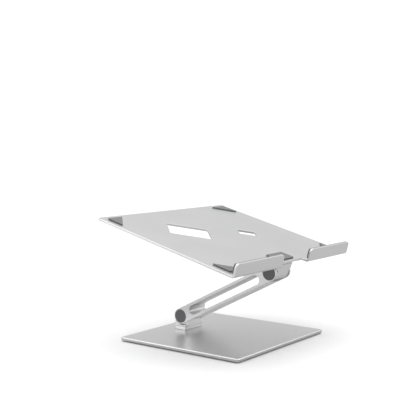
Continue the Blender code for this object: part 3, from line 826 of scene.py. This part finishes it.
@dataclass
class Base:
    """The plate that stands on the desk, with its feet and the lower hinge's block.

    Attributes:
        shop: Where pieces get their finish.
        width: The plate's width.
        depth: The plate's depth.
        thickness: The plate's thickness.
        behind: From the hinge's axis to the plate's back edge.
        corner: The radius of its corners.
        chamfer: The chamfer round its top, made bright by the edge colour as polish and a painted
            highlight.
        under_edge: The small chamfer round its bottom.
        foot_height: The height of the hinge's spacer.
        inset: From the plate's edges to its feet.
        rubber: Its pads.
        hinge: Its hinge block.
    """

    shop: PaintShop
    width: float = 211 * MM
    depth: float = 197 * MM
    thickness: float = 4 * MM
    behind: float = 36.3 * MM
    corner: float = 4 * MM
    chamfer: float = 0.9 * MM
    under_edge: float = 0.3 * MM
    foot_height: float = 4.7 * MM
    inset: float = 8 * MM
    rubber: Rubber = field(init=False)
    hinge: HingeBlock = field(init=False)

    def __post_init__(self) -> None:
        """Sets up the rubber and the hinge block, and finds the plate's middle."""
        self.rubber = Rubber(self.shop)
        self.hinge = HingeBlock(self.shop)
        self.middle = self.behind - self.depth / 2

    def plate(self) -> None:
        """Makes the plate."""
        bottom = self.rubber.thickness + self.hinge.gap
        blank = Blank().rectangle(self.width, self.depth, self.corner, (0, self.middle), steps=10)
        self.hinge.drill(blank).thicken(bottom, bottom + self.thickness)
        self.hinge.countersink(blank, bottom)
        blank.ease(self.chamfer, self.under_edge, steps=1)
        self.shop.piece("base_plate_metal", blank.turned(Facing.UP), "aluminium", Body.BASE, STAY,
                        ["base_plate"])

    def build(self) -> None:
        """Makes everything on the base."""
        self.plate()
        self.hinge.build("base", self.foot_height, Body.BASE, hinge_axes("base_hinge"))
        self.rubber.over_hinge("base_pad_hinge", 0, Body.BASE, STAY)
        across, along = self.width / 2 - self.inset, self.depth / 2 - self.inset
        for side, sign in SIDES:
            for end, way in (("front", -1), ("back", 1)):
                self.rubber.triangle(f"base_pad_{end}_{side}", (sign * across, self.middle + way * along),
                                     (-sign, -way), 0, Body.BASE, STAY)


@dataclass
class Arm:
    """The slotted link, forked at both ends, and the caps over its pivots.

    Attributes:
        shop: Where pieces get their finish.
        length: From axis to axis.
        width: Across the arm.
        radius: Half the arm's height, and the radius of its ends.
        rail: The height of metal above and below the window.
        fork: From an axis to the bottom of its fork.
        web: From the fork's bottom to the window.
        ear: The thickness of each ear.
        cap: The radius of a cap.
        cap_seat: The depth of a cap's seat.
        head_seat: The depth of the pivot head's seat below it.
        head: The radius of the pivot head's seat.
        bore: The radius of the pivot's bore.
        clearance: The gap round a cap, and behind it.
        proud: How far a cap stands out.
        cap_edge: The round of a cap's rim.
        edge: The round of the arm's edges.
    """

    shop: PaintShop
    length: float = 167 * MM
    width: float = 37 * MM
    radius: float = 11 * MM
    rail: float = 4.5 * MM
    fork: float = 12.5 * MM
    web: float = 5.8 * MM
    ear: float = 3.2 * MM
    cap: float = 9.5 * MM
    cap_seat: float = 0.9 * MM
    head_seat: float = 1.3 * MM
    head: float = 6.25 * MM
    bore: float = 4.3 * MM
    clearance: float = 0.25 * MM
    proud: float = 0.5 * MM
    cap_edge: float = 0.4 * MM
    edge: float = 0.7 * MM

    def link(self) -> BMesh:
        """Models the arm: half of it across, cut from its side view, and then mirrored.

        Returns:
            The mesh, with the lower axis at the origin and the upper one towards -Y.
        """
        half, inner = self.width / 2, self.width / 2 - self.ear
        seat, centre = self.cap + self.clearance, (-self.length / 2, 0)
        slot, window = self.radius - self.rail, self.length - 2 * (self.fork + self.web)
        height = 2 * self.radius
        blank = Blank().rectangle(self.length + height, height, self.radius, centre, steps=20)
        blank.rectangle(window, 2 * slot, slot, centre, steps=14)
        axes = (0.0, -self.length)
        for x in axes:
            blank.circle((x, 0), seat, ROUND_STEPS)
        bm = blank.fill().bm
        for x in (-self.fork, self.fork - self.length):
            slice_across(bm, (x, 0, 0), (1, 0, 0))
        middle = [f for f in pull(bm, bm.faces[:], (0, 0, -self.ear))
                  if self.fork - self.length < f.calc_center_median().x < -self.fork]
        bmesh.ops.delete(bm, geom=pull(bm, middle, (0, 0, -inner)), context="FACES")
        walls = [f for f in bm.faces if any(self.on_circle(f, x, seat) for x in axes)]
        bmesh.ops.delete(bm, geom=walls, context="FACES_ONLY")
        bmesh.ops.delete(bm, geom=[e for e in bm.edges if e.is_wire], context="EDGES")
        bmesh.ops.translate(bm, vec=(0, 0, half), verts=bm.verts)
        face_outwards(bm)
        soften(bm, [e for e in bm.edges if is_outside_corner(e)], self.edge)
        for x in axes:
            self.line_bore(bm, x, seat, half, inner)
        add_mirrored_half(bm, "Z")
        bmesh.ops.transform(bm, matrix=Facing.ALONG_X.value, verts=bm.verts)
        face_outwards(bm)
        return bm

    @staticmethod
    def on_circle(face: BMFace, x: float, radius: float) -> bool:
        """Tells whether a face is part of the wall of a round hole at x."""
        return all(abs(math.hypot(v.co.x - x, v.co.y) - radius) < TINY for v in face.verts)

    def line_bore(self, bm: BMesh, x: float, seat: float, outside: float, inside: float) -> None:
        """Spins the stepped wall of a pivot's bore onto the edges that wait for it.

        Args:
            bm: The arm.
            x: Where the bore's axis is along the arm.
            seat: The radius of the cap's seat.
            outside: The height of the ear's outer face.
            inside: The height of its inner face.
        """
        cap_floor = outside - self.cap_seat
        head_floor = cap_floor - self.head_seat
        profile = [(outside, seat), (cap_floor, seat), (cap_floor, self.head), (head_floor, self.head),
                   (head_floor, self.bore), (inside, self.bore), (inside, seat)]
        verts = [bm.verts.new((x + radius, 0, z)) for z, radius in profile]
        edges = [bm.edges.new(pair) for pair in zip(verts, verts[1:])]
        bmesh.ops.spin(bm, geom=verts + edges, cent=(x, 0, 0), axis=(0, 0, 1), angle=2 * math.pi,
                       steps=ROUND_STEPS, use_merge=True, use_duplicate=False)
        bmesh.ops.remove_doubles(bm, verts=bm.verts, dist=TINY)

    def cap_mesh(self, sign: int) -> BMesh:
        """Models a cap on the left, for a sign of -1, or on the right, for 1."""
        low = self.width / 2 - self.cap_seat + self.clearance
        high = self.width / 2 + self.proud
        flat = self.cap - self.cap_edge
        rim = quarter((high - self.cap_edge, flat), self.cap_edge, math.pi / 2)
        bm = spun([(low, 0), (low, self.cap)] + rim + [(high, 0)])
        mark_edge_faces(bm, [f for f in bm.faces if f.calc_center_median().yz.length > flat])
        if sign < 0:
            bmesh.ops.scale(bm, vec=(-1, 1, 1), verts=bm.verts)
            face_outwards(bm)
        return bm

    def build(self) -> None:
        """Makes the arm and its four caps."""
        place = hinge_axes("base_hinge", -ARM_LEAN)
        self.shop.piece("link_arm_metal", self.link(), "aluminium", Body.ARM, place, ["link_arm"])
        for prefix, y in (("base", 0.0), ("tray", -self.length)):
            for side, sign in SIDES:
                node = f"{prefix}_cap_{side}"
                self.shop.piece(f"{node}_moulding", self.cap_mesh(sign), "plastic", Body.ARM,
                                place @ Matrix.Translation((0, y, 0)), [node])


@dataclass
class Tray:
    """The bent sheet that holds the laptop, with its pads, liners and the upper hinge's block.

    Attributes:
        shop: Where pieces get their finish.
        width: The sheet's width.
        depth: From the outside of the lips to the back edge.
        thickness: The sheet's thickness.
        corner: The radius of its back corners.
        bend: The inside radius of the bend.
        lip: The lips' height above the sheet's underside.
        lip_corner: The radius of the lips' upper corners.
        notch: The width and depth of the notch between the lips.
        notch_corner: The radius of the notch's corners.
        to_hinge: From the notch to the hinge's foot.
        foot_height: The height of the hinge's spacer.
        vent_turn: How far the vents are turned.
        vent_corner: The radius of their corners.
        vents: Each vent's place across and back from the lips, its length and its height.
        edge: The round of the sheet's edges.
        edge_polish_and_highlight: How strongly those edges take the bright edge colour, a polish that is
            partly a painted highlight.
        inset: From the side and back edges to the pads.
        front_inset: From the lips' outer face to the front pads.
        liner: The liners' thickness, corner radius, and distance below the lips' top.
        liner_rims: The round of their rims towards the lips and towards the laptop.
        bend_steps: How many faces go round the bend.
        rubber: Its pads.
        hinge: Its hinge block.
    """

    shop: PaintShop
    width: float = 280 * MM
    depth: float = 230 * MM
    thickness: float = 3 * MM
    corner: float = 4 * MM
    bend: float = 1.2 * MM
    lip: float = 19.1 * MM
    lip_corner: float = 5 * MM
    notch: Point = (67 * MM, 11 * MM)
    notch_corner: float = 4 * MM
    to_hinge: float = 4.4 * MM
    foot_height: float = 2.9 * MM
    vent_turn: float = math.radians(-43)
    vent_corner: float = 1.2 * MM
    vents: Sequence[tuple[float, float, float, float]] = (
        (-44.6 * MM, 147 * MM, 58 * MM, 46 * MM), (49 * MM, 114 * MM, 26 * MM, 19.5 * MM))
    edge: float = 0.45 * MM
    edge_polish_and_highlight: float = 0.7
    inset: float = 9.5 * MM
    front_inset: float = 13 * MM
    liner: Corner = (1.5 * MM, 3.2 * MM, 0.5 * MM)
    liner_rims: Point = (0.2 * MM, 0.35 * MM)
    bend_steps: int = 10
    rubber: Rubber = field(init=False)
    hinge: HingeBlock = field(init=False)

    def __post_init__(self) -> None:
        """Sets up the rubber and the hinge block, and works out where the sheet lies."""
        self.rubber = Rubber(self.shop)
        self.hinge = HingeBlock(self.shop)
        self.front = -(self.notch[1] + self.to_hinge + self.hinge.flange[1] / 2)
        self.back = self.front + self.depth
        self.bottom = self.hinge.axis_height + self.hinge.flange[2] + self.foot_height + 2 * self.hinge.gap
        self.top = self.bottom + self.thickness
        self.outer_bend = self.bend + self.thickness
        self.neutral = self.bend + self.thickness / 2
        self.bend_length = self.neutral * math.pi / 2
        self.bend_start = self.front + self.outer_bend

    def sheet(self) -> BMesh:
        """Models the sheet: its flat blank is cut and eased, and then its lips are bent up.

        Returns:
            The mesh, with the hinge's axis at the origin.
        """
        half, notch = self.width / 2, self.notch[0] / 2
        blank_front = self.bend_start - self.bend_length - (self.lip - self.outer_bend)
        notch_back = self.front + self.notch[1]
        right = [(notch, notch_back, self.notch_corner), (notch, blank_front, self.lip_corner),
                 (half, blank_front, self.lip_corner), (half, self.back, self.corner)]
        left = [(-x, y, radius) for x, y, radius in reversed(right)]
        blank = Blank().outline(left + right, steps=8)
        for across, back, length, height in self.vents:
            blank.rectangle(length, height, self.vent_corner, (across, self.front + back), self.vent_turn)
        self.hinge.drill(blank).thicken(self.bottom, self.top)
        self.hinge.countersink(blank, self.top)
        # The eased edges take the bright edge colour: polish and a painted highlight.
        bm = blank.ease(self.edge, self.edge, amount=self.edge_polish_and_highlight).bm
        for step in range(self.bend_steps + 1):
            y = self.bend_start - self.bend_length * step / self.bend_steps
            slice_across(bm, (0, y, 0), (0, 1, 0))
        for vert in bm.verts:
            self.fold(vert)
        face_outwards(bm)
        return bm

    def fold(self, vert: BMVert) -> None:
        """Moves a point of the blank to where the bend takes it."""
        past = self.bend_start - vert.co.y
        if past <= 0:
            return
        turn = min(past / self.neutral, math.pi / 2)
        radius = self.outer_bend - (vert.co.z - self.bottom)
        straight = max(past - self.bend_length, 0.0)
        vert.co.y = self.bend_start - radius * math.sin(turn)
        vert.co.z = self.bottom + self.outer_bend - radius * math.cos(turn) + straight

    def lip_liner(self, sign: int) -> BMesh:
        """Models the rubber inside the left lip, for a sign of -1, or the right lip, for 1."""
        thickness, corner, below = self.liner
        low = self.top + self.bend + self.hinge.gap
        high = self.bottom + self.lip - below
        length = (self.width - self.notch[0]) / 2
        middle = sign * (self.width + self.notch[0]) / 4
        face = self.front + self.thickness + self.hinge.gap
        blank = Blank().rectangle(length, high - low, corner, (middle, (low + high) / 2), steps=4)
        blank.thicken(-face - thickness, -face).ease(*self.liner_rims, steps=2)
        return blank.turned(Facing.ALONG_Y)

    def build(self) -> None:
        """Makes everything on the tray."""
        place = hinge_axes("tray_hinge", TRAY_LEAN)
        self.shop.piece("tray_metal", self.sheet(), "aluminium", Body.TRAY, place, ["tray"])
        upside_down = place @ Matrix.Rotation(math.pi, 4, "X")
        self.hinge.build("tray", self.foot_height, Body.TRAY, upside_down)
        low = self.top + self.hinge.gap
        self.rubber.over_hinge("tray_pad_centre", low, Body.TRAY, place)
        rows = (("back", self.back - self.inset, -1), ("front", self.front + self.front_inset, 1))
        for side, sign in SIDES:
            x = sign * (self.width / 2 - self.inset)
            for end, y, way in rows:
                self.rubber.triangle(f"tray_pad_{end}_{side}", (x, y), (-sign, way), low, Body.TRAY, place)
            node = f"lip_liner_{side}"
            self.shop.piece(f"{node}_rubber", self.lip_liner(sign), "rubber", Body.TRAY, place, [node])


# ---------------------------------------------------------------- studio

@dataclass(frozen=True)
class SoftBox:
    """A square studio light.

    Attributes:
        name: Its name.
        place: Where it stands.
        target: Where it points.
        size: The length of its sides.
        power: Its power in watts.
    """

    name: str
    place: Corner
    target: Corner
    size: float
    power: float

    def build(self) -> None:
        """Makes the light."""
        data = bpy.data.lights.new(self.name, "AREA")
        data.shape = "SQUARE"
        data.size = self.size
        data.energy = self.power
        light = add_object(self.name, data)
        light.location = self.place
        aim = Vector(self.target) - Vector(self.place)
        light.rotation_euler = aim.to_track_quat("-Z", "Y").to_euler()


@dataclass
class Studio:
    """The floor, the surrounding light and the camera.

    Attributes:
        floor_radius: The radius of the round floor.
        floor_steps: How many straight sides it has.
        floor_colour: The floor's colour as the camera sees it.
        floor_bounce: The colour that it throws back onto the stand.
        floor_roughness: Its roughness.
        floor_specular: How strongly it reflects.
        sky: The brightness of the light all round.
        backdrop: The brightness of the backdrop that the camera sees.
        overhead: The strength of the even light from above.
        overhead_spread: How wide that light is, in degrees.
        camera_place: Where the camera stands.
        azimuth: The way that it looks, from +Y towards -X, in degrees.
        elevation: How far it looks down, in degrees.
        lens: Its focal length, in millimetres.
        sensor: The width of its sensor, in millimetres.
        nearest: The nearest that it sees.
        lights: The soft boxes.
    """

    floor_radius: float = 6.0
    floor_steps: int = 96
    floor_colour: Corner = (0.97, 0.97, 0.97)
    floor_bounce: Corner = (0.54, 0.54, 0.54)
    floor_roughness: float = 0.9
    floor_specular: float = 0.1
    sky: float = 0.66
    backdrop: float = 1.05
    overhead: float = 1.5
    overhead_spread: float = 105.0
    camera_place: Corner = (-0.961, -0.7559, 0.2777)
    azimuth: float = -52.59
    elevation: float = 4.11
    lens: float = 77.26
    sensor: float = 36.0
    nearest: float = 0.01
    lights: Sequence[SoftBox] = (
        SoftBox("key_light", (0.0, 0.3, 2.4), (0.0, -0.06, 0.1), 2.0, 5.0),
        SoftBox("side_light", (-1.6, 1.1, 0.4), (0.0, 0.0, 0.1), 1.0, 4.0),
        SoftBox("front_light", (1.4, -1.2, 0.8), (0.0, -0.1, 0.1), 1.3, 2.8))

    def floor(self) -> None:
        """Makes the floor."""
        bm = bmesh.new()
        bmesh.ops.create_circle(bm, cap_ends=True, radius=self.floor_radius,
                                segments=self.floor_steps)
        mesh = bpy.data.meshes.new("studio_floor")
        bm.to_mesh(mesh)
        bm.free()
        material = bpy.data.materials.new("studio_floor_paint")
        material.use_nodes = True
        shader = material.node_tree.nodes["Principled BSDF"]
        bench = NodeBench(material.node_tree)
        seen = bench.node("ShaderNodeLightPath").outputs["Is Camera Ray"]
        shade = bench.mix(seen, (*self.floor_bounce, 1), (*self.floor_colour, 1))
        bench.feed(shade, shader.inputs["Base Color"])
        shader.inputs["Roughness"].default_value = self.floor_roughness
        shader.inputs["Specular IOR Level"].default_value = self.floor_specular
        mesh.materials.append(material)
        add_object("studio_floor", mesh)

    def surroundings(self) -> None:
        """Sets plain, even light all round."""
        world = bpy.data.worlds.new("studio_light")
        world.use_nodes = True
        bench = NodeBench(world.node_tree)
        background = world.node_tree.nodes["Background"]
        background.inputs["Color"].default_value = (1, 1, 1, 1)
        seen = bench.node("ShaderNodeLightPath").outputs["Is Camera Ray"]
        bench.feed(bench.spread(seen, self.sky, self.backdrop), background.inputs["Strength"])
        bpy.context.scene.world = world

    def ceiling(self) -> None:
        """Makes the even light from above."""
        data = bpy.data.lights.new("ceiling", "SUN")
        data.energy = self.overhead
        data.angle = math.radians(self.overhead_spread)
        add_object("ceiling", data)

    def camera(self) -> None:
        """Makes the camera."""
        data = bpy.data.cameras.new("camera")
        data.lens = self.lens
        data.sensor_width = self.sensor
        data.clip_start = self.nearest
        data.dof.use_dof = False
        camera = add_object("camera", data)
        camera.location = self.camera_place
        camera.rotation_euler = (math.radians(90 - self.elevation), 0, math.radians(self.azimuth))
        bpy.context.scene.camera = camera

    def build(self) -> None:
        """Makes the whole studio."""
        self.floor()
        self.surroundings()
        self.ceiling()
        self.camera()
        for light in self.lights:
            light.build()
        bpy.context.scene.view_settings.view_transform = "Standard"


def main() -> None:
    """Builds the stand and its studio."""
    logging.basicConfig(level=logging.INFO, format="%(name)s: %(message)s")
    Studio().build()
    shop = PaintShop()
    shop.dress_frame_nodes()
    for assembly in (Base(shop), Arm(shop), Tray(shop)):
        assembly.build()


if __name__ == "__main__":
    main()
